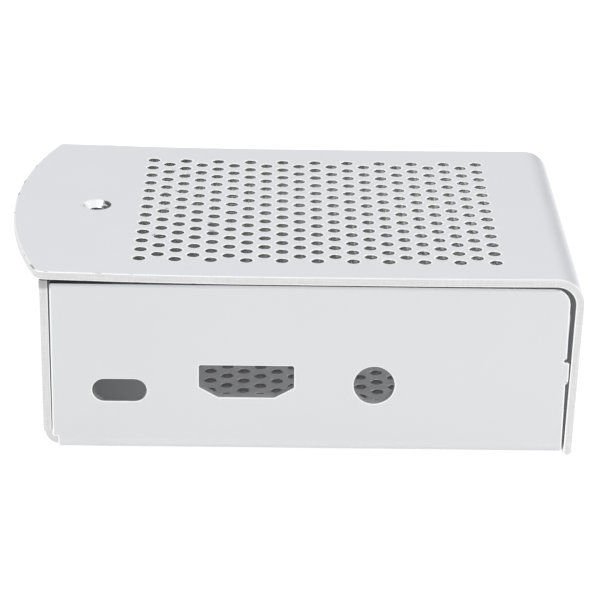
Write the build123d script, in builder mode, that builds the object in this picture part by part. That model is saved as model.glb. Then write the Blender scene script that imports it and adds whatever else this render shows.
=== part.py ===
from build123d import *
from math import cos, radians, sin, sqrt, tan
import os

# Folded aluminium case for a credit-card-size single board computer, in millimetres.
# X runs along the case from the round tongue to the end flange, Y from the port wall to the rear wall.
# The origin is under the middle of the whole case, on the surface that it stands on.

# Board that the case is folded around, and the room that it leaves about the board
board_length = 85.0
board_thickness = 1.4
hole_inset = 3.5
hole_spacing_x = 58.0
hole_spacing_y = 49.0
board_left_gap = 0.95
board_right_gap = 0.75
board_side_gap = 1.85

# Sheet and height of the side walls
sheet = 1.5
wall_height = 30.85

# Folds, as outer radii, and how the two sheets meet
tray_bend = 2.5
lip_bend = 2.0
cover_bend = 4.7
flange_lean = 1.2
seat_gap = 0.08
end_gap = 0.85
seam_gap = 0.2
corner_relief = 2.6
relief_height = 4.0
lip_relief = 0.5
foot_round = 0.4

# Tongue of the cover. Its end of the plate springs up a little, from a set between two columns of vents
tongue_overhang = 7.1
tongue_radius = 85.0
tongue_front_corner = 1.8
tongue_rear_corner = 0.6
spring_angle = 1.3
spring_radius = 40.0
spring_column = 3

# Closing screw hole and the lip under it
screw_inset = 7.35
screw_hole_radius = 1.4
screw_head_radius = 2.45
screw_sink_angle = 90
thread_radius = 1.025
lip_length = 9.5
lip_droop = 1.5

# Standoffs that carry the board
standoff_height = 7.0
standoff_across = 5.0
shank_radius = 2.1
shank_clearance = 0.01

# Vents, in columns that are staggered by half a row
vent_radius = 1.03
vent_sides = 6
vent_column_pitch = 3.0
vent_row_pitch = 4.0
top_vent_left = 16.2
top_vent_right = 13.9
top_vent_edge = 7.0
floor_vent_left = 12.6
floor_vent_right = 3.2
floor_vent_edge = 8.2

# Cut-outs of the port wall, measured from the board's left edge and from its upper face
power_x = 10.63
power_rise = 1.58
power_width = 9.1
power_height = 4.0
video_x = 32.0
video_rise = 3.4
video_width = 15.9
video_height = 5.8
video_bevel_width = 3.25
video_bevel_height = 1.85
audio_x = 53.5
audio_rise = 2.98
audio_radius = 3.4

# Right edges of the side walls, each with a rounded corner and a tab that locates the end flange
wall_corner = 2.8
tab_bottom = 13.6
tab_height = 3.9
tab_clearance = 0.06
tab_relief_radius = 0.25

# Cut-outs for the connectors at the board's right end and for its memory card at the left
network_y = 10.25
network_width = 16.6
network_height = 14.2
usb_y = (29.0, 47.0)
usb_width = 15.4
usb_height = 16.8
connector_corner = 0.8
connector_drop = 0.3
card_width = 15.0
card_height = 3.8

# Places that follow from the sizes
board_depth = hole_spacing_y + 2 * hole_inset
case_depth = board_depth + 2 * (board_side_gap + sheet)
tray_length = sheet + board_left_gap + board_length + board_right_gap
overall_length = tongue_overhang + tray_length + end_gap + sheet
tongue_tip = -overall_length / 2
left_face = tongue_tip + tongue_overhang
right_edge = left_face + tray_length
flange_inside = overall_length / 2 - sheet
half_depth = case_depth / 2
floor_start = left_face + tray_bend
board_left = left_face + sheet + board_left_gap
board_front = -board_depth / 2
standoff_left = board_left + hole_inset
standoff_top = sheet + standoff_height
board_top = standoff_top + board_thickness
cover_under = wall_height + seat_gap
cover_top = cover_under + sheet
spring_x = left_face + top_vent_left + (spring_column - 0.5) * vent_column_pitch
screw_x = left_face + screw_inset


def spring_rise(x):
    """How far the plate's sprung end stands above its flat middle at x, left of the set."""
    return (spring_x - x) * tan(radians(spring_angle))


def vent_places(first_x, span_x, span_y):
    """Centres of a staggered vent field, as many as the two spans hold. Odd columns have one hole less."""
    columns = int(span_x / vent_column_pitch) + 1
    rows = int(span_y / vent_row_pitch) + 1
    places = []
    for column in range(columns):
        count = rows - column % 2
        x = first_x + column * vent_column_pitch
        places += [(x, (row - (count - 1) / 2) * vent_row_pitch) for row in range(count)]
    return places


# The tray: floor, port wall, rear wall, left end wall and the lip that takes the closing screw
with BuildPart() as base_tray:
    # Floor and both side walls, one folded section drawn across the case
    with BuildSketch(Plane.YZ.offset(floor_start)):
        with BuildLine():
            FilletPolyline(
                (-half_depth, wall_height),
                (-half_depth, 0),
                (half_depth, 0),
                (half_depth, wall_height),
                radius=tray_bend,
            )
            offset(amount=sheet, side=Side.LEFT)
        make_face()
    extrude(amount=right_edge - floor_start)
    top_corners = base_tray.edges().filter_by(Axis.Y).group_by(Axis.X)[-1].group_by(Axis.Z)[-1]
    fillet(top_corners, wall_corner)

    # Left end wall with its folds to the floor and to the lip, one section drawn along the case
    lip_end = left_face + lip_bend + lip_length
    lip_top = cover_under + spring_rise(lip_end) - seat_gap + lip_length * sin(radians(lip_droop))
    with BuildSketch(Plane.XZ):
        with BuildLine():
            foot = Line((floor_start + tray_bend, 0), (floor_start, 0))
            fold = JernArc(start=foot @ 1, tangent=(-1, 0), radius=tray_bend, arc_size=-90)
            rise = Line(fold @ 1, (left_face, lip_top - lip_bend))
            turn = JernArc(start=rise @ 1, tangent=(0, 1), radius=lip_bend, arc_size=-90 - lip_droop)
            Line(turn @ 1, (turn @ 1) + (turn % 1) * lip_length)
            offset(amount=sheet, side=Side.RIGHT)
        make_face()
    extrude(amount=half_depth - corner_relief, both=True)

    # Above the corner reliefs the end wall runs the full depth, flush with the side walls. Beside the lip it
    # stands up to the cover as two narrow strips, each parted from the lip's fold by a slit
    strip_top = cover_under + spring_rise(left_face + sheet) - seat_gap
    strip_y = half_depth - corner_relief / 2
    with BuildSketch(Plane.YZ.offset(left_face)):
        with Locations(*[(side * strip_y, (relief_height + strip_top) / 2) for side in (-1, 1)]):
            Rectangle(corner_relief, strip_top - relief_height)
    extrude(amount=sheet)
    slit_y = half_depth - corner_relief - lip_relief / 2
    slit_foot = lip_top - lip_bend
    with BuildSketch(Plane.YZ.offset(left_face)):
        with Locations(*[(side * slit_y, (slit_foot + cover_top) / 2) for side in (-1, 1)]):
            Rectangle(lip_relief, cover_top - slit_foot)
    extrude(amount=lip_end - left_face, mode=Mode.SUBTRACT)

    # The side walls reach back to the end wall, leaving the seam, and their right edges have tabs
    seam_x = left_face + sheet + seam_gap
    tab_top = tab_bottom + tab_height
    tab_end = flange_inside - (wall_height - tab_bottom) * sin(radians(flange_lean)) - tab_clearance
    for side in (-1, 1):
        with BuildSketch(Plane.XZ.offset(side * (half_depth - sheet / 2))):
            with Locations(((seam_x + floor_start) / 2, (tray_bend + wall_height) / 2)):
                Rectangle(floor_start - seam_x, wall_height - tray_bend)
            with Locations(((right_edge + tab_end) / 2, tab_bottom + tab_height / 2)):
                Rectangle(tab_end - right_edge, tab_height)
        extrude(amount=sheet / 2, both=True)
    with BuildSketch(Plane.XZ):
        with Locations((right_edge, tab_top)):
            Circle(tab_relief_radius)
    extrude(amount=half_depth, both=True, mode=Mode.SUBTRACT)

    # Cut-outs of the port wall: a slot for power, a bevelled one for video, a round one for audio
    with BuildSketch(Plane.XZ.offset(half_depth)):
        with Locations((board_left + power_x, board_top + power_rise)):
            SlotOverall(power_width, power_height)
        with BuildLine(Plane((board_left + video_x, board_top + video_rise))):
            Polyline(
                (-video_width / 2, video_height / 2),
                (video_width / 2, video_height / 2),
                (video_width / 2, video_bevel_height - video_height / 2),
                (video_width / 2 - video_bevel_width, -video_height / 2),
                (video_bevel_width - video_width / 2, -video_height / 2),
                (-video_width / 2, video_bevel_height - video_height / 2),
                close=True,
            )
        make_face()
        with Locations((board_left + audio_x, board_top + audio_rise)):
            Circle(audio_radius)
    extrude(amount=-sheet, mode=Mode.SUBTRACT)

    # Slot of the end wall for the memory card, which lies under the board
    with BuildSketch(Plane.YZ.offset(left_face)):
        with Locations((0, standoff_top - card_height / 2)):
            SlotOverall(card_width, card_height)
    extrude(amount=sheet, mode=Mode.SUBTRACT)

    # Vents of the floor, between the standoffs
    with BuildSketch():
        floor_length = hole_spacing_x - floor_vent_left - floor_vent_right
        floor_depth = hole_spacing_y - 2 * floor_vent_edge
        with Locations(*vent_places(standoff_left + floor_vent_left, floor_length, floor_depth)):
            RegularPolygon(vent_radius, vent_sides, major_radius=False)
    extrude(amount=sheet, mode=Mode.SUBTRACT)

    # Holes that the standoffs are pressed into
    standoff_plane = Plane((standoff_left + hole_spacing_x / 2, 0, 0))
    with BuildSketch(standoff_plane):
        with GridLocations(hole_spacing_x, hole_spacing_y, 2, 2):
            Circle(shank_radius + shank_clearance)
    extrude(amount=sheet, mode=Mode.SUBTRACT)

    # Hole of the lip for the closing screw's thread
    with BuildSketch(Plane.XY.offset(lip_top)):
        with Locations((screw_x, 0)):
            Circle(thread_radius)
    extrude(amount=-2 * sheet, mode=Mode.SUBTRACT)
base_tray.part.label = "base_tray"

# The cover: top plate with its sprung tongue, and the end flange, one section drawn along the case
with BuildPart() as top_cover:
    lean = radians(flange_lean)
    flange_corner = flange_inside + sheet - cover_bend + cover_bend * (1 + sin(lean)) / cos(lean)
    with BuildSketch(Plane.XZ):
        with BuildLine():
            FilletPolyline(
                (tongue_tip, cover_top + spring_rise(tongue_tip)),
                (spring_x, cover_top),
                (flange_corner, cover_top),
                (flange_corner - cover_top * tan(lean), 0),
                radius=[spring_radius, cover_bend],
            )
            offset(amount=sheet, side=Side.RIGHT)
        make_face()
    extrude(amount=half_depth, both=True)

    # The flange's foot has its two edges rounded over
    foot_edges = top_cover.edges().filter_by(Axis.Y).sort_by(Axis.Z)[:2]
    fillet(foot_edges, foot_round)

    # Its outline from above, an arc of large radius at the tongue with eased corners
    tongue_root = tongue_tip + tongue_radius - sqrt(tongue_radius**2 - half_depth**2)
    with BuildSketch():
        with BuildLine():
            ThreePointArc((tongue_root, half_depth), (tongue_tip, 0), (tongue_root, -half_depth))
            Polyline(
                (tongue_root, -half_depth),
                (overall_length, -half_depth),
                (overall_length, half_depth),
                (tongue_root, half_depth),
            )
        make_face()
    extrude(amount=2 * cover_top, mode=Mode.INTERSECT)
    for row, corner in ((0, tongue_front_corner), (-1, tongue_rear_corner)):
        corner_edges = top_cover.edges().filter_by(Axis.Z).group_by(Axis.Y)[row]
        fillet(corner_edges.sort_by(Axis.X)[0], corner)

    # Vents of the top plate
    top_length = overall_length - tongue_overhang - top_vent_left - top_vent_right
    top_depth = case_depth - 2 * top_vent_edge
    with BuildSketch(Plane.XY.offset(cover_under)):
        with Locations(*vent_places(left_face + top_vent_left, top_length, top_depth)):
            RegularPolygon(vent_radius, vent_sides, major_radius=False)
    extrude(amount=2 * sheet, mode=Mode.SUBTRACT)

    # Countersunk hole for the closing screw
    with Locations((screw_x, 0, cover_top + spring_rise(screw_x))):
        CounterSinkHole(screw_hole_radius, screw_head_radius, 2 * sheet, screw_sink_angle)

    # Cut-outs of the end flange for the network and USB connectors
    with BuildSketch(Plane.YZ.offset(flange_inside + sheet)):
        connector_foot = board_top - connector_drop
        with Locations((board_front + network_y, connector_foot + network_height / 2)):
            RectangleRounded(network_width, network_height, connector_corner)
        with Locations(*[(board_front + y, connector_foot + usb_height / 2) for y in usb_y]):
            RectangleRounded(usb_width, usb_height, connector_corner)
    extrude(amount=-2 * sheet, mode=Mode.SUBTRACT)
top_cover.part.label = "top_cover"

# The standoffs: a round shank pressed into the floor, a six-sided pillar and a threaded bore right through
standoffs = []
for y_side, depth_name in ((-1, "front"), (1, "rear")):
    for x_step, length_name in ((0, "left"), (1, "right")):
        centre = (standoff_left + x_step * hole_spacing_x, y_side * hole_spacing_y / 2)
        with BuildPart() as standoff:
            with BuildSketch(Plane(centre)):
                Circle(shank_radius)
            extrude(amount=sheet)
            with BuildSketch(Plane((*centre, sheet))):
                RegularPolygon(standoff_across / 2, 6, major_radius=False, rotation=30)
            extrude(amount=standoff_height)
            with BuildSketch(Plane(centre)):
                Circle(thread_radius)
            extrude(amount=standoff_top, mode=Mode.SUBTRACT)
        standoff.part.label = f"standoff_{depth_name}_{length_name}"
        standoffs.append(standoff.part)

os.makedirs("parts", exist_ok=True)
for piece in [base_tray.part, top_cover.part, *standoffs]:
    export_step(piece, f"parts/{piece.label}.step")
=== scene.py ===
from math import asin, atan, cos, pi, radians, sin, tan

import bpy
import numpy as np
from mathutils import Matrix, Vector
from mathutils.geometry import delaunay_2d_cdt


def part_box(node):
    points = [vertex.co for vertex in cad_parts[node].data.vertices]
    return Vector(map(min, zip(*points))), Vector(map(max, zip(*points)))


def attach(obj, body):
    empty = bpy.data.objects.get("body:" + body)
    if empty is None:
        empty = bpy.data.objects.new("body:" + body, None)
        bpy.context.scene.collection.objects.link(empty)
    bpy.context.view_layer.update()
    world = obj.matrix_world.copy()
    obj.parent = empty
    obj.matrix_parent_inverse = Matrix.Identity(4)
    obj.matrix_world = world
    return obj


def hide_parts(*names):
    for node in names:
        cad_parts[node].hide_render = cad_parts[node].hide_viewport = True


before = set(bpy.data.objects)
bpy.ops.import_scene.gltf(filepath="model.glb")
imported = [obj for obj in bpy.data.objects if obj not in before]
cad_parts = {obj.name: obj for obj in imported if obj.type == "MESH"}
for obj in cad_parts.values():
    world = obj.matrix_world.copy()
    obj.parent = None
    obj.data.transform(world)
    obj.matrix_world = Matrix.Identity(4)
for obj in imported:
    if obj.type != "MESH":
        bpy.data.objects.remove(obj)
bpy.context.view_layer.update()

# The view of the case: a long lens looks down on the port wall from in front, turned and rolled by
# less than a degree, from as far as the case's own perspective says.
lens = 138.16
sensor_width = 36.0
camera_place = (-0.00216, -0.38128, 0.17996)
camera_drop = radians(23.416)
camera_turn = radians(-0.603)
camera_roll = radians(0.9)
nearest_seen = 0.01

camera_data = bpy.data.cameras.new("camera")
camera_data.lens = lens
camera_data.sensor_width = sensor_width
camera_data.clip_start = nearest_seen
camera = bpy.data.objects.new("camera", camera_data)
bpy.context.scene.collection.objects.link(camera)
camera.matrix_world = (
    Matrix.Translation(camera_place)
    @ Matrix.Rotation(camera_turn, 4, "Z")
    @ Matrix.Rotation(pi / 2 - camera_drop, 4, "X")
    @ Matrix.Rotation(camera_roll, 4, "Z")
)
bpy.context.scene.camera = camera


# The tray: floor, port wall, rear wall, left end wall and lip, punched from one plus-shaped blank of 1.5 mm
# aluminium and then folded. The end wall stands between the side walls up to a relief at each corner, and
# covers their ends above it. Sizes are in mm, and a piece is scaled to metres when its mesh is made.
mm = 0.001
sheet = 1.5
tray_low, tray_high = (np.array(corner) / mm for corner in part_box("base_tray"))
left_face, (tab_end, half_depth, lip_top) = tray_low[0], tray_high
wall_length = 88.2
wall_height = 30.85
fold_steps = 14
corner_steps = 5
near = 0.01
spare = 0.1
tray_bend = 2.5
lip_bend = 2.0
lip_droop = radians(1.5)
lip_length = 9.5
lip_relief = 0.5
lip_corner = 0.6
corner_relief = 2.6
strip_foot = 2.9
strip_corner = 2.0
seam_foot = 0.04
seam_head = 0.2
strip_gap = 0.02
wall_corner = 2.8
tab_bottom = 13.6
tab_top = 17.5
tab_bite = 0.45
small_corner = 0.34
inner_corner = 0.2
notch_corner = 0.08
notch_end = 0.1
fold_clearance = 0.2
relief_depth = 0.4
board_gap = 2.45
board_top = 9.9
standoff_inset = 3.5
standoff_spacing = (58.0, 49.0)
shank_hole_radius = 2.11
shank_hole_sides = 32
screw_inset = 7.35

right_edge = left_face + wall_length
board_left = left_face + board_gap
standoff_left = board_left + standoff_inset
screw_x = left_face + screw_inset
strip_top = lip_top - strip_gap
floor_start = left_face + tray_bend
flat_half = half_depth - tray_bend
quarter_fold = tray_bend * pi / 2
wall_base = flat_half + quarter_fold - tray_bend
end_base = floor_start - quarter_fold + tray_bend
lip_swing = pi / 2 + lip_droop
lip_rise = lip_top - lip_bend
lip_start = end_base - lip_rise
lip_tip = lip_start - lip_bend * lip_swing - lip_length
strip_half = half_depth - corner_relief
lip_half = strip_half - lip_relief


def stack(x, y, z):
    """Three coordinates, single or in arrays, as rows of points."""
    return np.stack(np.broadcast_arrays(x, y, z), axis=1)


def fold_tray(u, v, depth):
    """The tray's folds, from the blank's flat directions u and v and a depth below its outer face, in mm.
    Beyond the floor's flat part a point follows a quarter circle and then a wall: towards the sides by v,
    and at the left end by u, where the lip's arc follows at the top."""
    past = np.abs(v) - flat_half
    tilt = np.clip(past / tray_bend, 0, pi / 2)
    side = np.sign(v)
    y = np.minimum(np.abs(v), flat_half) + tray_bend * np.sin(tilt)
    z = tray_bend * (1 - np.cos(tilt)) + np.maximum(past - quarter_fold, 0)
    place = stack(u, side * y, z)
    along_u = stack(1.0, 0.0, 0 * u)
    along_v = stack(0.0, np.cos(tilt), side * np.sin(tilt))
    normal = stack(0.0, side * np.sin(tilt), -np.cos(tilt))

    back = floor_start - u
    tip = np.clip(back / tray_bend, 0, pi / 2)
    climb = end_base - u
    lipped = (np.abs(v) < (lip_half + strip_half) / 2) & (climb > lip_rise)
    swing = np.where(lipped, np.clip((climb - lip_rise) / lip_bend, 0, lip_swing), 0)
    out = np.where(lipped, np.maximum(climb - lip_rise - lip_bend * lip_swing, 0), 0)
    x = floor_start - tray_bend * np.sin(tip) + lip_bend * (1 - np.cos(swing)) + out * np.sin(swing)
    standing = tray_bend * (1 - np.cos(tip)) + np.maximum(back - quarter_fold, 0)
    z = np.where(lipped, lip_rise + lip_bend * np.sin(swing) + out * np.cos(swing), standing)
    lean = tip + swing
    at_end = ((u < floor_start) & (np.abs(v) < half_depth + spare))[:, None]
    place = np.where(at_end, stack(x, v, z), place)
    along_u = np.where(at_end, stack(np.cos(lean), 0.0, -np.sin(lean)), along_u)
    along_v = np.where(at_end, [0.0, 1.0, 0.0], along_v)
    normal = np.where(at_end, stack(-np.sin(lean), 0.0, -np.cos(lean)), normal)
    return place - depth[:, None] * normal, along_u, along_v, normal


def rounded_loop(corners):
    """A closed outline through corners (u, v, radius), each rounded by an arc. Each corner gives points
    on a circle that touches both of its edges. Returns the points and, for each, the unit direction out
    of the metal, which lies to the left."""
    corners = np.array(corners, float)
    place, radius = corners[:, :2], corners[:, 2:]
    run = np.roll(place, -1, axis=0) - place
    run /= np.linalg.norm(run, axis=1, keepdims=True)
    before = np.roll(run, 1, axis=0)
    turn = np.arctan2(before[:, 0] * run[:, 1] - before[:, 1] * run[:, 0], (before * run).sum(axis=1))
    side = np.sign(turn)[:, None]
    outward = np.stack([before[:, 1], -before[:, 0]], axis=1)
    centre = place - before * radius * np.tan(np.abs(turn) / 2)[:, None] - side * radius * outward
    angle = turn[:, None] * np.linspace(0, 1, corner_steps + 1)[None]
    swung = np.stack(
        [
            np.cos(angle) * outward[:, :1] - np.sin(angle) * outward[:, 1:],
            np.sin(angle) * outward[:, :1] + np.cos(angle) * outward[:, 1:],
        ],
        axis=2,
    )
    points = centre[:, None] + side[:, None] * radius[:, None] * swung
    return points.reshape(-1, 2), swung.reshape(-1, 2)


touching = 1e-6
level = 1e-9


def crossed(loop, axis, lines):
    """The loop with a point added wherever it crosses one of the lines at which u or v, by axis, has
    the given value. The added points lie straight between their neighbours."""
    points, outward = loop
    ends = np.vstack([points, points[:1]])
    start, step = ends[:-1, axis][:, None], np.diff(ends[:, axis])[:, None]
    share = (np.array(lines)[None] - start) / np.where(np.abs(step) < level, np.inf, step)
    edge, line = np.nonzero((share > touching) & (share < 1 - touching))
    spots = np.sort(np.concatenate([np.arange(len(points)), edge + share[edge, line]]))
    at = np.arange(len(points) + 1)
    normals = np.vstack([outward, outward[:1]])
    new_points = np.stack([np.interp(spots, at, ends[:, k]) for k in (0, 1)], axis=1)
    new_outward = np.stack([np.interp(spots, at, normals[:, k]) for k in (0, 1)], axis=1)
    return new_points, new_outward / np.linalg.norm(new_outward, axis=1, keepdims=True)


front_half = [
    (lip_tip, lip_half, lip_corner),
    (lip_start + relief_depth, lip_half, inner_corner),
    (lip_start + relief_depth, strip_half, inner_corner),
    (end_base - strip_top, strip_half, small_corner),
    (end_base - strip_top, half_depth, small_corner),
    (end_base - strip_foot, half_depth, strip_corner),
    (end_base - strip_foot, strip_half, inner_corner),
    (floor_start, strip_half, notch_corner),
    (floor_start, wall_base + tray_bend + fold_clearance, notch_end),
    (left_face + sheet + seam_foot, wall_base + tray_bend + fold_clearance, small_corner),
    (left_face + sheet + seam_head, wall_base + wall_height, small_corner),
    (right_edge, wall_base + wall_height, wall_corner),
    (right_edge, wall_base + tab_top + tab_bite, small_corner),
    (right_edge - tab_bite, wall_base + tab_top + tab_bite, inner_corner),
    (right_edge - tab_bite, wall_base + tab_top, inner_corner),
    (tab_end, wall_base + tab_top, small_corner),
    (tab_end, wall_base + tab_bottom, small_corner),
    (right_edge, wall_base + tab_bottom, small_corner),
]
tray_outline = [(u, -v, r) for u, v, r in front_half] + front_half[::-1]

# A fold's lines across the flat blank: the axis that they cross, where, and between which two ends
fold_shares = np.linspace(0, 1, fold_steps + 1)
side_lines = [
    (1, side * (flat_half + quarter_fold * k), floor_start - spare, right_edge + spare)
    for side in (-1, 1)
    for k in fold_shares
]
end_lines = [(0, floor_start - max(spare, quarter_fold * k), -half_depth, half_depth) for k in fold_shares]
lip_lines = [
    (0, lip_start - lip_bend * lip_swing * k, -lip_half - spare, lip_half + spare) for k in fold_shares
]
tray_lines = side_lines + end_lines + lip_lines


def hole_loop(corners):
    """A cut-out through corners (u, v, radius), walked clockwise whichever way it was listed."""
    u, v = np.array(corners, float).T[:2]
    area = (u * np.roll(v, -1) - v * np.roll(u, -1)).sum()
    return rounded_loop(corners if area < 0 else corners[::-1])


square = ((-1, -1), (1, -1), (1, 1), (-1, 1))


def box_corners(u, v, width, height, radius):
    """The four rounded corners of a rectangle about a centre: half its width and height to each side."""
    return [(u + a * width / 2, v + b * height / 2, radius) for a, b in square]


def round_hole(u, v, radius, sides):
    """A round hole, walked clockwise so that the metal lies to its left: a ray of the radius, turned."""
    angle = -2 * pi * np.arange(sides) / sides
    ray = np.stack([np.cos(angle), np.sin(angle)], axis=1)
    return np.array([u, v]) + radius * ray, -ray


vent_radius = 1.03
vent_sides = 16
column_pitch = 3.0
row_pitch = 4.0
floor_vent_start = 12.6
floor_vent_length = 42.2
floor_vent_width = 32.6


def vent_places(first, span_u, span_v):
    """Centres of a staggered field of vents. Every other column has one less and stands half a row off."""
    places = []
    rows = int(span_v / row_pitch) + 1
    for column in range(int(span_u / column_pitch) + 1):
        count = rows - column % 2
        u = first + column * column_pitch
        places += [(u, (row - (count - 1) / 2) * row_pitch) for row in range(count)]
    return places


port_base = -wall_base - board_top
power_along, power_up = 10.63, 1.58
power_width, power_height, power_corner = 9.1, 4.0, 1.98
power_middle = board_left + power_along, port_base - power_up
power_slot = box_corners(*power_middle, power_width, power_height, power_corner)
video_along, video_up = 32.0, 3.4
video_half, video_rise, video_foot, video_step = 7.95, 2.9, 4.7, 1.05
video_port = [
    (board_left + video_along + a, port_base - video_up - b, small_corner)
    for a, b in (
        (-video_half, video_rise),
        (video_half, video_rise),
        (video_half, -video_step),
        (video_foot, -video_rise),
        (-video_foot, -video_rise),
        (-video_half, -video_step),
    )
]
audio_along, audio_up, audio_radius, audio_sides = 53.5, 2.98, 3.4, 48
audio_port = round_hole(board_left + audio_along, port_base - audio_up, audio_radius, audio_sides)
card_up, card_height, card_width, card_corner = 6.6, 3.8, 15.0, 1.88
card_slot = box_corners(end_base - card_up, 0, card_height, card_width, card_corner)
standoff_places = [
    (standoff_left + a * standoff_spacing[0], b * standoff_spacing[1] / 2) for b in (-1, 1) for a in (0, 1)
]
screw_reach = screw_x - left_face - lip_bend * (1 + sin(lip_droop))
lip_hole_u = lip_start - lip_bend * lip_swing - screw_reach / cos(lip_droop)
lip_hole = 5
thread_minor = 1.025
thread_sides = 24
tray_edge_loop = crossed(rounded_loop(tray_outline), 1, [line[1] for line in side_lines])
tray_loops = [
    crossed(tray_edge_loop, 0, [line[1] for line in end_lines + lip_lines]),
    hole_loop(power_slot),
    hole_loop(video_port),
    audio_port,
    hole_loop(card_slot),
    round_hole(lip_hole_u, 0, thread_minor, thread_sides),
]
tray_loops += [round_hole(u, v, shank_hole_radius, shank_hole_sides) for u, v in standoff_places]
first_vent = len(tray_loops)
floor_vents = vent_places(standoff_left + floor_vent_start, floor_vent_length, floor_vent_width)
tray_loops += [round_hole(u, v, vent_radius, vent_sides) for u, v in floor_vents]


edge_round = 0.14
thin_round = 0.07
end_round = 0.22
margin = 0.1
vent_margin = 0.2


def eased_edge(radius, inner_radius):
    """The rings of a cut edge with both arrises rounded over. Each arris is a quarter circle of the radius
    given for each of the loop's points, with a ring half way round it. On the outer face a narrow margin
    comes before it, where the deburring tool has run."""
    half, slant = 1 - cos(pi / 4), 0.7
    column, inner_column = radius[:, None], inner_radius[:, None]
    return [
        (-column - margin, 0, 1, 0),
        (-column, 0, 1, 0),
        (-half * column, half * radius, slant, slant),
        (0, radius, 0, 1),
        (0, sheet - inner_radius, 0, 1),
        (-half * inner_column, sheet - half * inner_radius, -slant, slant),
        (-inner_column, sheet, -1, 0),
    ]


plain_edge = [
    (-edge_round - margin, 0, 1, 0),
    (-edge_round, 0, 1, 0),
    (0, edge_round, 0, 1),
    (0, sheet - edge_round, 0, 1),
    (-edge_round, sheet, -1, 0),
]
vent_edge = [(-edge_round - vent_margin, 0, 1, 0), *plain_edge[1:]]


thread_depth = 0.2
thread_pitch = 0.45
rings_a_pitch = 4


def thread_rings():
    """The rings of a tapped hole's wall. A groove of the thread's depth winds down it by one pitch a turn:
    its depth is a triangle wave of the depth in pitches less the share of a turn."""
    turn = -np.arange(thread_sides) / thread_sides
    rings = [(-edge_round, 0, 1, 0)]
    for depth in np.arange(edge_round, sheet - edge_round + near, thread_pitch / rings_a_pitch):
        wave = np.abs((depth / thread_pitch - turn) % 1 * 2 - 1)
        rings.append((-(thread_depth * wave)[:, None], depth, 0, 1))
    return rings + [(-edge_round, sheet, -1, 0)]


# The arrises of the outline: the walls' ends are rounded most, and their tops least
outline_u, outline_v = tray_loops[0][0].T
clear = 0.3
on_wall = np.abs(outline_v) > wall_base + tray_bend + clear
on_top = np.abs(outline_v) > wall_base + wall_height - near
wall_end = on_wall & ~on_top & ((outline_u < floor_start) | (outline_u > right_edge - wall_corner + clear))
wall_end &= (outline_u > left_face + sheet) & (outline_u < right_edge + near)
tray_arris = np.where(wall_end, end_round, np.where(on_top, thin_round, edge_round))
tray_edges = {0: eased_edge(tray_arris, tray_arris), lip_hole: thread_rings()}


def inside(places, ring):
    """Which places lie inside a ring: those from which a ray to the right crosses it an odd number of
    times."""
    ends = np.roll(ring, -1, axis=0)
    u, v = places[:, :1], places[:, 1:]
    spans = (ring[:, 1] > v) != (ends[:, 1] > v)
    rise = np.where(ends[:, 1] == ring[:, 1], np.inf, ends[:, 1] - ring[:, 1])
    reach = ring[:, 0] + (v - ring[:, 1]) * (ends[:, 0] - ring[:, 0]) / rise
    return (spans & (u < reach)).sum(axis=1) % 2 == 1


def filled(rings, outline, lines):
    """Triangles that fill the first ring outside the others. Each line (axis, value, low, high) is kept
    as edges between the outline's points on it, so that a fold has a row of edges along it. A triangle
    counts if its middle is inside the first ring and its corners aren't all on one of the others."""
    points = np.vstack(rings)
    sizes = [len(ring) for ring in rings]
    starts = np.cumsum([0] + sizes[:-1])
    edges = [
        (start + k, start + (k + 1) % size) for start, size in zip(starts, sizes) for k in range(size)
    ]
    for axis, value, low, high in lines:
        across = outline[:, 1 - axis]
        at_value = np.abs(outline[:, axis] - value) < touching
        on_line = np.nonzero(at_value & (across > low) & (across < high))[0]
        on_line = on_line[np.argsort(across[on_line])]
        edges += [(int(a), int(b)) for a, b in zip(on_line[::2], on_line[1::2])]
    flat_points = [Vector(p) for p in points.tolist()]
    faces, origins = delaunay_2d_cdt(flat_points, edges, [], 0, touching)[2:4]
    source = np.array([origin[0] if origin else -1 for origin in origins])
    if (source < 0).any() or len(source) != len(points):
        raise ValueError("the blank's loops or fold lines cross")
    triangles = source[np.array(faces)]
    middle = points[triangles].mean(axis=1)
    keep = inside(middle, rings[0])
    ring_of = np.repeat(np.arange(len(rings)), sizes)[triangles]
    same = (ring_of[:, 0] == ring_of[:, 1]) & (ring_of[:, 1] == ring_of[:, 2]) & (ring_of[:, 0] > 0)
    return triangles[keep & ~same]


# The finishes of a sheet, as the numbers of its material slots. The arris finish is burnished metal
# with a painted highlight.
skin, sheared, burnish_and_highlight, punched, turned = range(5)
bright_arris_width = 0.1
arris_turn = 0.2


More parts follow.
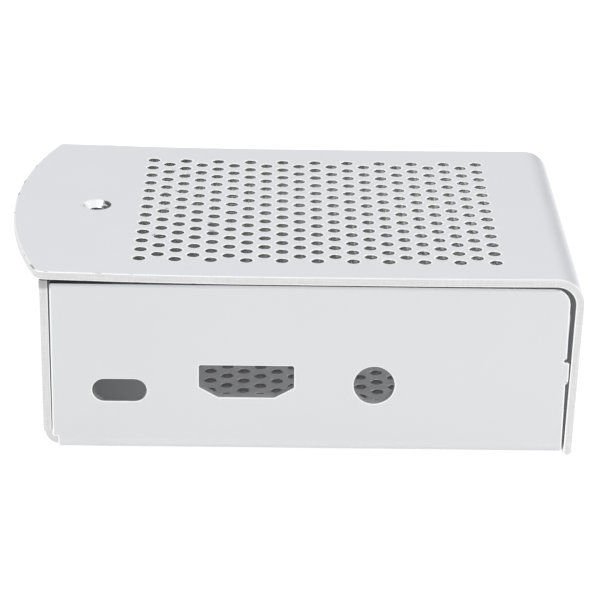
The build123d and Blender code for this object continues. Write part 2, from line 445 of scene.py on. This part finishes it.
def folded_sheet(name, loops, lines, fold, edges, finishes):
    """A solid sheet from a flat blank. Each loop's cut edge is a row of rings (inset, depth, share of
    the face's direction, share of the edge's), both faces are filled between the outermost rings, and
    fold(u, v, depth) then gives every point its place, its two in-plane directions and its normal. Cut
    edges carry a map of the length run along the loop and the depth, in mm. Their arrises, the rows in
    which the surface turns, are burnished metal with a painted highlight where wider than the set width."""
    flat, depth, facing, edging, outward, quads, wall_of, run_of = ([] for _ in range(8))
    tops, bottoms, top_ids, bottom_ids = ([] for _ in range(4))
    count = 0
    for k, (points, out) in enumerate(loops):
        profile = edges.get(k, vent_edge if k in finishes else plain_edge)
        size = len(points)
        stride = np.linalg.norm(np.roll(points, -1, axis=0) - points, axis=1)
        run = np.cumsum(stride) - stride
        for inset, at_depth, share_face, share_edge in profile:
            flat.append(points + inset * out)
            depth.append(np.full(size, at_depth))
            facing.append(np.full(size, share_face))
            edging.append(np.full(size, share_edge))
            outward.append(out)
        first = count + np.arange(size)
        after = count + (np.arange(size) + 1) % size
        bright_arris = np.where(np.broadcast_to(np.ravel(profile[1][0]), size) < -bright_arris_width, burnish_and_highlight, skin)
        for row in range(len(profile) - 1):
            low, high = row * size, (row + 1) * size
            quads.append(np.stack([first + low, first + high, after + high, after + low], axis=1))
            facing_here, facing_next = profile[row][2], profile[row + 1][2]
            is_arris = abs(facing_here - facing_next) > arris_turn or facing_next == 1
            wall_of.append(bright_arris if is_arris else np.full(size, finishes.get(k, sheared)))
            run_of.append(np.stack([run, run, run + stride, run + stride], axis=1))
        tops.append(flat[-len(profile)])
        bottoms.append(flat[-1])
        top_ids.append(first)
        bottom_ids.append(first + (len(profile) - 1) * size)
        count += len(profile) * size
    flat, depth = np.vstack(flat), np.concatenate(depth)
    facing, edging, outward = np.concatenate(facing), np.concatenate(edging), np.vstack(outward)
    top_faces = filled(tops, loops[0][0], lines)
    bottom_faces = filled(bottoms, loops[0][0], lines)
    top_faces = np.concatenate(top_ids)[top_faces]
    bottom_faces = np.concatenate(bottom_ids)[bottom_faces][:, ::-1]
    place, along_u, along_v, normal = fold(flat[:, 0], flat[:, 1], depth)
    side = outward[:, :1] * along_u + outward[:, 1:] * along_v
    shading = facing[:, None] * normal + edging[:, None] * side
    shading /= np.linalg.norm(shading, axis=1, keepdims=True)
    # A blank drawn on its outer face, as the tray's is, has its normal against its u and v
    order = -1 if np.cross(along_u[0], along_v[0]) @ normal[0] < 0 else 1
    quads, run_of = np.vstack(quads)[:, ::order], np.vstack(run_of)[:, ::order]
    level_faces = np.vstack([top_faces, bottom_faces])[:, ::order]
    cut_map = np.stack([run_of, depth[quads]], axis=2).reshape(-1, 2)
    whole_map = np.vstack([flat[level_faces.ravel()], cut_map])
    faces = level_faces.tolist() + quads.tolist()
    mesh = bpy.data.meshes.new(name)
    mesh.from_pydata((place * mm).tolist(), [], faces)
    finish_of = np.concatenate([np.full(len(level_faces), skin), *wall_of])
    mesh.polygons.foreach_set("material_index", finish_of.astype(np.int32))
    mesh.polygons.foreach_set("use_smooth", np.ones(len(faces), bool))
    mesh.uv_layers.new(name="cut_run").data.foreach_set("uv", whole_map.ravel())
    mesh.update()
    mesh.normals_split_custom_set_from_vertices(shading.tolist())
    piece = bpy.data.objects.new(name, mesh)
    bpy.context.scene.collection.objects.link(piece)
    return piece


punched_loops = {k: punched for k in range(first_vent, len(tray_loops))}
tray = folded_sheet("tray", tray_loops, tray_lines, fold_tray, tray_edges, punched_loops)
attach(tray, "root")
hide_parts("base_tray")


def add_node(tree, kind, sockets={}, **settings):
    """A node of a kind, with its settings, and each named or numbered socket either set to a value or
    fed by another node's output."""
    node = tree.nodes.new(kind)
    for setting, value in settings.items():
        setattr(node, setting, value)
    for socket, value in sockets.items():
        if isinstance(value, bpy.types.NodeSocket):
            tree.links.new(value, node.inputs[socket])
        else:
            node.inputs[socket].default_value = value
    return node


def effect_group(name):
    """An empty effect: it takes a place, a colour and a roughness, and gives back a colour and a
    roughness that vary, with a height for the relief."""
    group = bpy.data.node_groups.new(name, "ShaderNodeTree")
    for label, kind in (("Place", "Vector"), ("Base", "Color"), ("Rough", "Float")):
        group.interface.new_socket(label, in_out="INPUT", socket_type="NodeSocket" + kind)
    for label, kind in (("Color", "Color"), ("Roughness", "Float"), ("Height", "Float")):
        group.interface.new_socket(label, in_out="OUTPUT", socket_type="NodeSocket" + kind)
    return group, add_node(group, "NodeGroupInput").outputs, add_node(group, "NodeGroupOutput").inputs


def scaled_noise(tree, place, scale, detail=2.0):
    """Noise about 0.5 over a place stretched by a scale in each direction."""
    stretched = add_node(tree, "ShaderNodeVectorMath", {0: place, 1: scale}, operation="MULTIPLY")
    sockets = {"Vector": stretched.outputs[0], "Scale": 1.0, "Detail": detail}
    return add_node(tree, "ShaderNodeTexNoise", sockets).outputs["Fac"]


def worked(tree, operation, *values):
    """One step of arithmetic on numbers or outputs."""
    return add_node(tree, "ShaderNodeMath", dict(enumerate(values)), operation=operation).outputs[0]


def ramp(tree, value, start, end, first, last, course="SMOOTHSTEP"):
    """A number that goes from first to last as a value goes from start to end, and holds beyond them. Its
    course is a straight line, or one that starts and ends level."""
    sockets = {"Value": value, "From Min": start, "From Max": end, "To Min": first, "To Max": last}
    return add_node(tree, "ShaderNodeMapRange", sockets, interpolation_type=course).outputs[0]


def shaded(tree, color, factor):
    """A colour made darker or lighter by a factor."""
    return add_node(tree, "ShaderNodeVectorMath", {0: color, "Scale": factor}, operation="SCALE").outputs[0]


def finish_effect(group, result, color, roughness, height):
    """Joins an effect's varying colour, roughness and height to what it gives back."""
    for label, output in (("Color", color), ("Roughness", roughness), ("Height", height)):
        group.links.new(output, result[label])


# Blasted skin: fine even pits all over, and slow changes of a percent or so where the blast dwelt
pit_scale, dwell_scale = (7000.0,) * 3, (60.0,) * 3
pit_shade, dwell_shade, plain_shade = 0.03, 0.02, 0.975
pit_blur, dwell_blur, plain_blur = 0.06, 0.08, -0.07
blasted_skin, given, result = effect_group("blasted_skin")
pits = scaled_noise(blasted_skin, given["Place"], pit_scale)
dwell = scaled_noise(blasted_skin, given["Place"], dwell_scale)
pitted = worked(blasted_skin, "MULTIPLY_ADD", pits, pit_shade, plain_shade)
blotches = worked(blasted_skin, "MULTIPLY_ADD", dwell, dwell_shade, pitted)
pitted = worked(blasted_skin, "MULTIPLY_ADD", pits, pit_blur, plain_blur)
uneven = worked(blasted_skin, "MULTIPLY_ADD", dwell, dwell_blur, pitted)
blasted_color = shaded(blasted_skin, given["Base"], blotches)
blasted_rough = worked(blasted_skin, "ADD", given["Rough"], uneven)
finish_effect(blasted_skin, result, blasted_color, blasted_rough, pits)

# Sheared edge: torn lines across the sheet where it broke, over long drag lines from the blade
tear_scale, drag_scale = (4.5, 0.6, 0.0), (0.12, 4.0, 0.0)
tear_shade, drag_shade, torn_shade, tear_blur = 0.22, 0.26, 0.76, 0.12
sheared_edge, given, result = effect_group("sheared_edge")
tears = scaled_noise(sheared_edge, given["Place"], tear_scale)
drags = scaled_noise(sheared_edge, given["Place"], drag_scale)
torn = worked(sheared_edge, "MULTIPLY", tears, tear_shade)
lines = worked(sheared_edge, "ADD", torn, worked(sheared_edge, "MULTIPLY", drags, drag_shade))
torn_color = shaded(sheared_edge, given["Base"], worked(sheared_edge, "ADD", lines, torn_shade))
torn_rough = worked(sheared_edge, "MULTIPLY_ADD", tears, tear_blur, given["Rough"])
finish_effect(sheared_edge, result, torn_color, torn_rough, lines)

# Punched wall: a painted reflection, a bright streak at the same place round every hole and the rest
# darker, with short scores down it
score_scale = (3.0, 0.3, 0.0)
glint_middle, glint_inner, glint_outer = 4.75, 0.15, 1.5
glint_gain, score_shade, wall_shade, glint_blur = 1.35, 0.4, 0.5, -0.1
punched_wall, given, result = effect_group("punched_wall")
around = add_node(punched_wall, "ShaderNodeSeparateXYZ", {0: given["Place"]}).outputs[0]
scores = scaled_noise(punched_wall, given["Place"], score_scale)
off_glint = worked(punched_wall, "ABSOLUTE", worked(punched_wall, "SUBTRACT", around, glint_middle))
# A painted reflection: brightest at the set place round the hole, gone 1.5 mm to either side
painted_glint = ramp(punched_wall, off_glint, glint_inner, glint_outer, 1.0, 0.0)
scored = worked(punched_wall, "MULTIPLY_ADD", scores, score_shade, wall_shade)
glint_and_scores = worked(punched_wall, "MULTIPLY_ADD", painted_glint, glint_gain, scored)
punched_color = shaded(punched_wall, given["Base"], glint_and_scores)
punched_rough = worked(punched_wall, "MULTIPLY_ADD", painted_glint, glint_blur, given["Rough"])
finish_effect(punched_wall, result, punched_color, punched_rough, scores)


relief_strength = 0.5


def finished_metal(name, effect, map_name, color, roughness, relief, lid_shade=None):
    """Bare metal with one effect: the effect's place is the object's own, in metres, or the map of its
    cut edges, in mm, and the relief is the depth of its pits or scores in metres. Given a lid shade, a
    painted shadow of the lid darkens it between two heights in mm by a factor, and less so up to a place on
    the right."""
    material = bpy.data.materials.new(name)
    material.use_nodes = True
    tree = material.node_tree
    shader = tree.nodes["Principled BSDF"]
    shader.inputs["Metallic"].default_value = 1.0
    places = add_node(tree, "ShaderNodeTexCoord").outputs
    sockets = {"Place": places[map_name], "Base": (*color, 1), "Rough": roughness}
    finish = add_node(tree, "ShaderNodeGroup", sockets, node_tree=effect).outputs
    sockets = {"Height": finish["Height"], "Distance": relief, "Strength": relief_strength}
    relief_map = add_node(tree, "ShaderNodeBump", sockets)
    metal_color = finish["Color"]
    # A painted shadow of the lid: darker between the two heights, most at the left end
    if lid_shade:
        low, high, darkest, unshaded_end = lid_shade
        along, _, height = add_node(tree, "ShaderNodeSeparateXYZ", {0: places["Object"]}).outputs
        darkest = ramp(tree, along, left_face * mm, unshaded_end * mm, darkest, 1.0, "LINEAR")
        lid_shadow = ramp(tree, height, low * mm, high * mm, 1.0, darkest)
        metal_color = shaded(tree, metal_color, lid_shadow)
    tree.links.new(metal_color, shader.inputs["Base Color"])
    tree.links.new(finish["Roughness"], shader.inputs["Roughness"])
    tree.links.new(relief_map.outputs[0], shader.inputs["Normal"])
    return material


# Colour, roughness and relief of each finish, and the painted shadow of the lid near the walls' tops
tray_skin, skin_rough, skin_pits = (0.716, 0.72, 0.733), 0.42, 4e-6
cut_grey, cut_rough, cut_lines = (0.71, 0.71, 0.71), 0.36, 1e-5
# The arris grey is lighter than the skin: burnished metal with a painted highlight
burnish_highlight_grey, worn_rough, worn_pits = (0.9, 0.9, 0.9), 0.3, 2e-6
wall_grey, wall_rough, wall_scores = (0.8, 0.8, 0.81), 0.3, 1e-5
# Painted shadow of the lid: from and to heights in mm, the darkest factor, and where it fades out along x
# in mm
skin_lid_shade = (30.1, wall_height, 0.76, 4 * right_edge)
cut_lid_shade = (29.6, 30.3, 0.6, -10.0)
arris_lid_shade = (29.7, 30.3, 0.6, 0.0)
tray_materials = [
    finished_metal("tray_blasted", blasted_skin, "Object", tray_skin, skin_rough, skin_pits, skin_lid_shade),
    finished_metal("tray_sheared_edge", sheared_edge, "UV", cut_grey, cut_rough, cut_lines, cut_lid_shade),
    finished_metal(
        "tray_burnish_highlight_arris", blasted_skin, "Object", burnish_highlight_grey, worn_rough, worn_pits, arris_lid_shade
    ),
    finished_metal("tray_punched_wall", punched_wall, "UV", wall_grey, wall_rough, wall_scores),
]
for material in tray_materials:
    tray.data.materials.append(material)


# The cover: top plate, end flange and the round tongue by which it is lifted, one folded sheet with a large
# field of vents. One countersunk hole takes the closing screw. The plate springs up a little towards the
# tongue, and the flange leans in over the tabs of the side walls.
cover_low, cover_high = (np.array(corner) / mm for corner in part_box("top_cover"))
cover_bend = 4.7
flange_lean = radians(1.2)
tongue_radius = 85.0
tongue_sides = 8
tongue_tilt = 0.022
tongue_shift = 0.06
front_corner = 1.8
rear_corner = 0.6
foot_corner = 0.55
cover_vent_start = 16.2
cover_vent_length = 60.45
cover_vent_width = 48.7
spring_slope = tan(radians(1.3))
spring_columns = 2.5
spring_spread = 14.0
spring_steps = 9
crown_length = 24.0
crown_rise = 0.14
crown_steps = 5
lid_gap = 0.08
inner_round = 0.25
foot_round = 0.4
foot_reach = 0.5
screw_hole_radius = 1.4
screw_hole_sides = 48
screw_head_radius = 2.45
board_half = 28.0
connector_drop = 0.3
connector_corner = 0.8
connectors = ((14.2, 10.25, 16.6), (16.8, 29.0, 15.4), (16.8, 47.0, 15.4))

cover_top = wall_height + lid_gap + sheet
connector_foot = board_top - connector_drop
spring_x = left_face + cover_vent_start + spring_columns * column_pitch
crown_slope = atan(2 * crown_rise / crown_length)
bend_start = cover_high[0] - cover_bend * (1 + sin(crown_slope))
crown_start = bend_start - crown_length
bend_swing = pi / 2 + flange_lean + crown_slope
bend_foot = cover_top + crown_rise - cover_bend * (cos(crown_slope) - cos(bend_swing - crown_slope))


def flange_u(z):
    """Where a height on the flange lies in the flat blank."""
    return bend_start + cover_bend * bend_swing + (bend_foot - z) / sin(bend_swing - crown_slope)


def fold_cover(u, v, depth):
    """The cover's fold. The plate is level, then rises to the left by a parabola and a straight line, and
    by a slight crown to the right, where a point then follows the bend's arc and the flange."""
    left = np.clip(spring_x + spring_spread - u, 0, 2 * spring_spread)
    slope = spring_slope * left / (2 * spring_spread)
    crown = np.clip((u - crown_start) / crown_length, 0, 1)
    straight = np.maximum(spring_x - spring_spread - u, 0)
    rise = slope * left / 2 + spring_slope * straight + crown_rise * crown**2
    past = np.maximum(u - bend_start, 0)
    swing = np.minimum(past / cover_bend, bend_swing)
    down = np.maximum(past - cover_bend * bend_swing, 0)
    lean = swing + np.arctan(slope) - crown_slope * crown
    x = np.minimum(u, bend_start) + down * np.cos(lean)
    x += np.where(past > 0, cover_bend * (np.sin(lean) + sin(crown_slope)), 0)
    z = cover_top + rise - down * np.sin(lean)
    z -= np.where(past > 0, cover_bend * (cos(crown_slope) - np.cos(lean)), 0)
    along_u = stack(np.cos(lean), 0.0, -np.sin(lean))
    normal = stack(np.sin(lean), 0.0, np.cos(lean))
    return stack(x, v, z) - depth[:, None] * normal, along_u, stack(0.0, 1.0, 0 * u), normal


tongue_tip = cover_low[0]
tongue_half = asin(half_depth / tongue_radius)
tongue_root = tongue_tip + tongue_radius * (1 - cos(tongue_half))
tongue_step = tongue_half / tongue_sides
tongue_reach = tongue_radius / cos(tongue_step)
cover_outline = [
    (tongue_root, -half_depth, front_corner),
    (flange_u(0), -half_depth, foot_corner),
    (flange_u(0), half_depth, foot_corner),
    (tongue_root, half_depth, rear_corner),
]
arc_share, end_share = 0.97, 0.6
cover_outline += [
    (
        tongue_tip + tongue_radius - tongue_reach * cos(angle),
        tongue_reach * sin(angle),
        tongue_radius * (end_share if abs(angle) > tongue_half - 2 * tongue_step else arc_share),
    )
    for angle in tongue_half - tongue_step * (2 * np.arange(tongue_sides) + 1)
]
cover_outline = [
    (u + (tongue_shift - tongue_tilt * v) * (u < left_face), v, radius) for u, v, radius in cover_outline
]
cover_lines = [
    (0, bend_start + cover_bend * bend_swing * k, -half_depth - spare, half_depth + spare)
    for k in fold_shares
]
spring_lines = np.linspace(spring_x - spring_spread, spring_x + spring_spread, spring_steps)
crown_lines = np.linspace(crown_start, bend_start, crown_steps)[:-1]
crossings = [line[1] for line in cover_lines] + [*spring_lines, *crown_lines]
screw_hole = 1
cover_loops = [
    crossed(rounded_loop(cover_outline), 0, crossings),
    round_hole(screw_x, 0, screw_hole_radius, screw_hole_sides),
]
for height, along_board, width in connectors:
    middle = (flange_u(connector_foot) + flange_u(connector_foot + height)) / 2
    opening = box_corners(middle, along_board - board_half, height, width, connector_corner)
    cover_loops.append(hole_loop(opening))
first_vent = len(cover_loops)
cover_vents = vent_places(left_face + cover_vent_start, cover_vent_length, cover_vent_width)
cover_loops += [round_hole(u, v, vent_radius, vent_sides) for u, v in cover_vents]

# The countersink's wall: a cone at 45 degrees, eased where it meets the face and the bore
sink = screw_head_radius - screw_hole_radius
sink_edge = [
    (-sink - 0.1, 0, 1, 0),
    (-sink - 0.02, 0.03, 0.9, 0.4),
    (-sink + 0.03, 0.08, 0.71, 0.71),
    (-0.03, sink + 0.02, 0.71, 0.71),
    (0, sink + 0.07, 0, 1),
    (0, sheet - 0.1, 0, 1),
    (-0.08, sheet, -1, 0),
]
on_foot = cover_loops[0][0][:, 0] > flange_u(0) - foot_reach
outer_arris = np.where(on_foot, foot_round, edge_round)
inner_arris = np.where(on_foot, foot_round, inner_round)
cover_edges = {0: eased_edge(outer_arris, inner_arris), screw_hole: sink_edge}
cut_finishes = {screw_hole: turned} | {k: punched for k in range(first_vent, len(cover_loops))}
cover = folded_sheet("cover", cover_loops, cover_lines, fold_cover, cover_edges, cut_finishes)
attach(cover, "root")
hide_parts("top_cover")

# Nicked arris: the arris lighter, as burnished metal with a painted highlight, with a dark nick here
# and there towards the tongue
knock_scale, knock_detail, knock_blur = (330.0, 330.0, 2500.0), 1.0, 0.1
handled_slope, most_handled = -2.6, 0.1
nick_start, nick_full, nick_shade = 0.72, 0.78, 0.4
nicked_arris, given, result = effect_group("nicked_arris")
knocks = scaled_noise(nicked_arris, given["Place"], knock_scale, knock_detail)
along = add_node(nicked_arris, "ShaderNodeSeparateXYZ", {0: given["Place"]}).outputs[0]
leftward = worked(nicked_arris, "MULTIPLY", along, handled_slope)
handled = worked(nicked_arris, "MINIMUM", leftward, most_handled)
knocked = worked(nicked_arris, "ADD", knocks, handled)
nick = ramp(nicked_arris, knocked, nick_start, nick_full, 1.0, nick_shade, "LINEAR")
nicked_color = shaded(nicked_arris, given["Base"], nick)
knocked_rough = worked(nicked_arris, "MULTIPLY_ADD", knocks, knock_blur, given["Rough"])
finish_effect(nicked_arris, result, nicked_color, knocked_rough, nick)

# Turned sink: a painted reflection, the cone light in two opposite sectors and dark between them,
# with the sectors' edges broken by the cutter's rings
sink_turn = radians(-22)
ring_scale, ring_spread, ring_blur = (0.7, 6.0, 0.0), 1.2, 0.1
right_sector, left_sector = (1.15, 1.6, 1.0, 0.1), (-0.3, -0.5, 1.0, 0.4)
turned_sink, given, result = effect_group("turned_sink")
around = add_node(turned_sink, "ShaderNodeSeparateXYZ", {0: given["Place"]}).outputs[0]
swing = worked(turned_sink, "MULTIPLY_ADD", around, -1 / screw_hole_radius, sink_turn)
rings = scaled_noise(turned_sink, given["Place"], ring_scale)
spread = worked(turned_sink, "MULTIPLY_ADD", rings, ring_spread, worked(turned_sink, "COSINE", swing))
right_painted_dark, left_painted_dark = (ramp(turned_sink, spread, *sector) for sector in (right_sector, left_sector))
# A painted reflection: the two opposite sectors are darkened, one to a tenth, the other to 0.4
painted_sectors = worked(turned_sink, "MULTIPLY", right_painted_dark, left_painted_dark)
turned_color = shaded(turned_sink, given["Base"], painted_sectors)
turned_rough = worked(turned_sink, "MULTIPLY_ADD", rings, ring_blur, given["Rough"])
finish_effect(turned_sink, result, turned_color, turned_rough, rings)

cover_skin = (0.788, 0.796, 0.825)
# The nicked arris grey is lighter than the skin: burnished metal with a painted highlight
nicked_highlight_grey, nicked_rough, nick_depth = (0.96, 0.96, 0.96), 0.28, 1e-5
sink_grey, sink_rough, sink_rings = (0.9, 0.9, 0.91), 0.16, 1e-5
cover_materials = [
    finished_metal("cover_blasted", blasted_skin, "Object", cover_skin, skin_rough, skin_pits),
    finished_metal("cover_sheared_edge", sheared_edge, "UV", cut_grey, cut_rough, cut_lines),
    finished_metal("cover_burnish_highlight_arris", nicked_arris, "Object", nicked_highlight_grey, nicked_rough, nick_depth),
    finished_metal("cover_punched_wall", punched_wall, "UV", wall_grey, wall_rough, wall_scores),
    finished_metal("cover_turned_sink", turned_sink, "UV", sink_grey, sink_rough, sink_rings),
]
for material in cover_materials:
    cover.data.materials.append(material)


# The standoffs: turned from six-sided bar and pressed into the floor, with a chamfered end for the board
# and an M2.5 thread right through. Each is one closed surface, its section carried round its own axis.
standoff_sides = 48
standoff_height = 8.5
standoff_across = 5.0
standoff_chamfer = 0.1
top_inset = 0.25
top_chamfer = 0.9
top_rows = 8
chamfer_slope = 1.7
shank_radius = 2.1
mouth_radius = 1.32
mouth_depth = 0.3
sharpest_smooth = radians(25)
nickel_color, nickel_rough, nickel_pits = (0.66, 0.63, 0.57), 0.28, 3e-6


def standoff_mesh(name, u, v):
    """Rows of points round the axis, each with a radius and a height: up the outside, over the top and
    down the bore. The six sides are the distance to a hexagon's edge, cut by a cone at the top, and the
    bore's radius winds by one thread pitch a turn."""
    angle = 2 * pi * np.arange(standoff_sides) / standoff_sides
    hexagon = standoff_across / 2 / np.cos((angle + pi / 6) % (pi / 3) - pi / 6)
    top_radius = standoff_across / 2 - top_inset
    rows = [(mouth_radius, 0.0), (shank_radius - standoff_chamfer, 0.0)]
    rows += [(shank_radius, standoff_chamfer), (shank_radius, sheet)]
    rows += [(hexagon - standoff_chamfer, sheet), (hexagon, sheet + standoff_chamfer)]
    for down in np.linspace(top_chamfer, 0.0, top_rows):
        rows.append((np.minimum(hexagon, top_radius + chamfer_slope * down), standoff_height - down))
    rows.append((mouth_radius, standoff_height))
    for height in np.arange(standoff_height - mouth_depth, mouth_depth, -thread_pitch / rings_a_pitch):
        wave = np.abs((height / thread_pitch - angle / (2 * pi)) % 1 * 2 - 1)
        rows.append((thread_minor + thread_depth * wave, height))
    radius = np.array([np.broadcast_to(r, standoff_sides) for r, _ in rows])
    height = np.array([np.full(standoff_sides, z) for _, z in rows])
    place = np.stack([u + radius * np.cos(angle), v + radius * np.sin(angle), height], axis=2)
    ids = np.arange(radius.size).reshape(radius.shape)
    beside, above = np.roll(ids, -1, axis=1), np.roll(ids, -1, axis=0)
    quads = np.stack([ids, beside, np.roll(beside, -1, axis=0), above], axis=2)
    mesh = bpy.data.meshes.new(name)
    mesh.from_pydata((place.reshape(-1, 3) * mm).tolist(), [], quads.reshape(-1, 4).tolist())
    mesh.polygons.foreach_set("use_smooth", np.ones(ids.size, bool))
    mesh.set_sharp_from_angle(angle=sharpest_smooth)
    mesh.update()
    piece = bpy.data.objects.new(name, mesh)
    bpy.context.scene.collection.objects.link(piece)
    return piece


nickel = finished_metal("standoff_nickel", blasted_skin, "Object", nickel_color, nickel_rough, nickel_pits)
for (u, v), place_name in zip(standoff_places, ("front_left", "front_right", "rear_left", "rear_right")):
    standoff = standoff_mesh("pillar_" + place_name, u, v)
    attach(standoff, "root")
    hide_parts("standoff_" + place_name)
    standoff.data.materials.append(nickel)


# The studio: a wide white floor that shows as white to the lens and in the metal, and keeps a faint
# shadow. Under the case itself the lens sees it unlit, so that the vents stay dark.
floor_reach = 4.0
floor_drop = 0.0001
floor_white = 0.3
floor_glow = 0.84
shelter = (0.036, 0.0245)
shelter_edge = 0.004
shelter_glow = 0.06

floor_mesh = bpy.data.meshes.new("floor")
corners = [(a * floor_reach, b * floor_reach, -floor_drop) for a, b in square]
floor_mesh.from_pydata(corners, [], [(0, 1, 2, 3)])
floor = bpy.data.objects.new("floor", floor_mesh)
bpy.context.scene.collection.objects.link(floor)

floor_material = bpy.data.materials.new("floor_white")
floor_material.use_nodes = True
tree = floor_material.node_tree
shader = tree.nodes["Principled BSDF"]
shader.inputs["Base Color"].default_value = (*(floor_white,) * 3, 1)
shader.inputs["Roughness"].default_value = 1.0
shader.inputs["Specular IOR Level"].default_value = 0.0
place = add_node(tree, "ShaderNodeTexCoord").outputs["Object"]
beside = add_node(tree, "ShaderNodeVectorMath", {0: place}, operation="ABSOLUTE").outputs[0]
sockets = {0: beside, 1: (*shelter, 0.0)}
past_shelter = add_node(tree, "ShaderNodeVectorMath", sockets, operation="SUBTRACT").outputs[0]
past_end, past_side, _ = add_node(tree, "ShaderNodeSeparateXYZ", {0: past_shelter}).outputs
outside = worked(tree, "MAXIMUM", past_end, past_side)
path_kind = add_node(tree, "ShaderNodeLightPath").outputs
seen = worked(tree, "MAXIMUM", path_kind["Is Camera Ray"], path_kind["Is Glossy Ray"])
seen = worked(tree, "MAXIMUM", seen, path_kind["Is Transmission Ray"])
open_floor = worked(tree, "MULTIPLY", seen, floor_glow)
under_case = worked(tree, "MULTIPLY", path_kind["Is Glossy Ray"], shelter_glow)
strength = ramp(tree, outside, 0.0, shelter_edge, under_case, open_floor)
shader.inputs["Emission Color"].default_value = (1, 1, 1, 1)
tree.links.new(strength, shader.inputs["Emission Strength"])
floor_mesh.materials.append(floor_material)

# Its light: a room that is white to the lens and dimmer to the metal towards the horizon, a soft lamp
# above the left front corner and one at the right. A dim one inside the case, before the rear wall,
# stands for the light that many reflections bring in.
horizon_light = 0.22
high_light = 1.0
high_sky = 0.4
world = bpy.data.worlds.new("studio")
bpy.context.scene.world = world
world.use_nodes = True
tree = world.node_tree
heading = add_node(tree, "ShaderNodeTexCoord").outputs["Generated"]
height = add_node(tree, "ShaderNodeSeparateXYZ", {0: heading}).outputs[2]
sky = ramp(tree, height, 0.0, high_sky, horizon_light, high_light)
path_kind = add_node(tree, "ShaderNodeLightPath").outputs
seen = worked(tree, "MAXIMUM", path_kind["Is Camera Ray"], path_kind["Is Transmission Ray"])
tree.links.new(worked(tree, "MAXIMUM", sky, seen), tree.nodes["Background"].inputs["Strength"])
tree.nodes["Background"].inputs["Color"].default_value = (1, 1, 1, 1)

for name, shape, size, energy, place, target in (
    ("key", "ELLIPSE", (0.6, 0.6), 1.0, (-0.35, -0.3, 0.8), (0, 0, 0)),
    ("side", "ELLIPSE", (0.6, 0.6), 1.05, (0.7, 0.1, 0.2), (0, 0, 0)),
    ("inside", "RECTANGLE", (0.074, 0.022), 0.001, (-0.002, 0.0285, 0.016), (-0.002, 0, 0.016)),
):
    lamp_data = bpy.data.lights.new(name, "AREA")
    lamp_data.shape = shape
    lamp_data.size, lamp_data.size_y = size
    lamp_data.energy = energy
    lamp = bpy.data.objects.new(name, lamp_data)
    lamp.location = place
    lamp.rotation_euler = (Vector(target) - Vector(place)).to_track_quat("-Z", "Y").to_euler()
    lamp.visible_camera = False
    bpy.context.scene.collection.objects.link(lamp)

bpy.context.scene.view_settings.view_transform = "Standard"

bpy.context.view_layer.update()
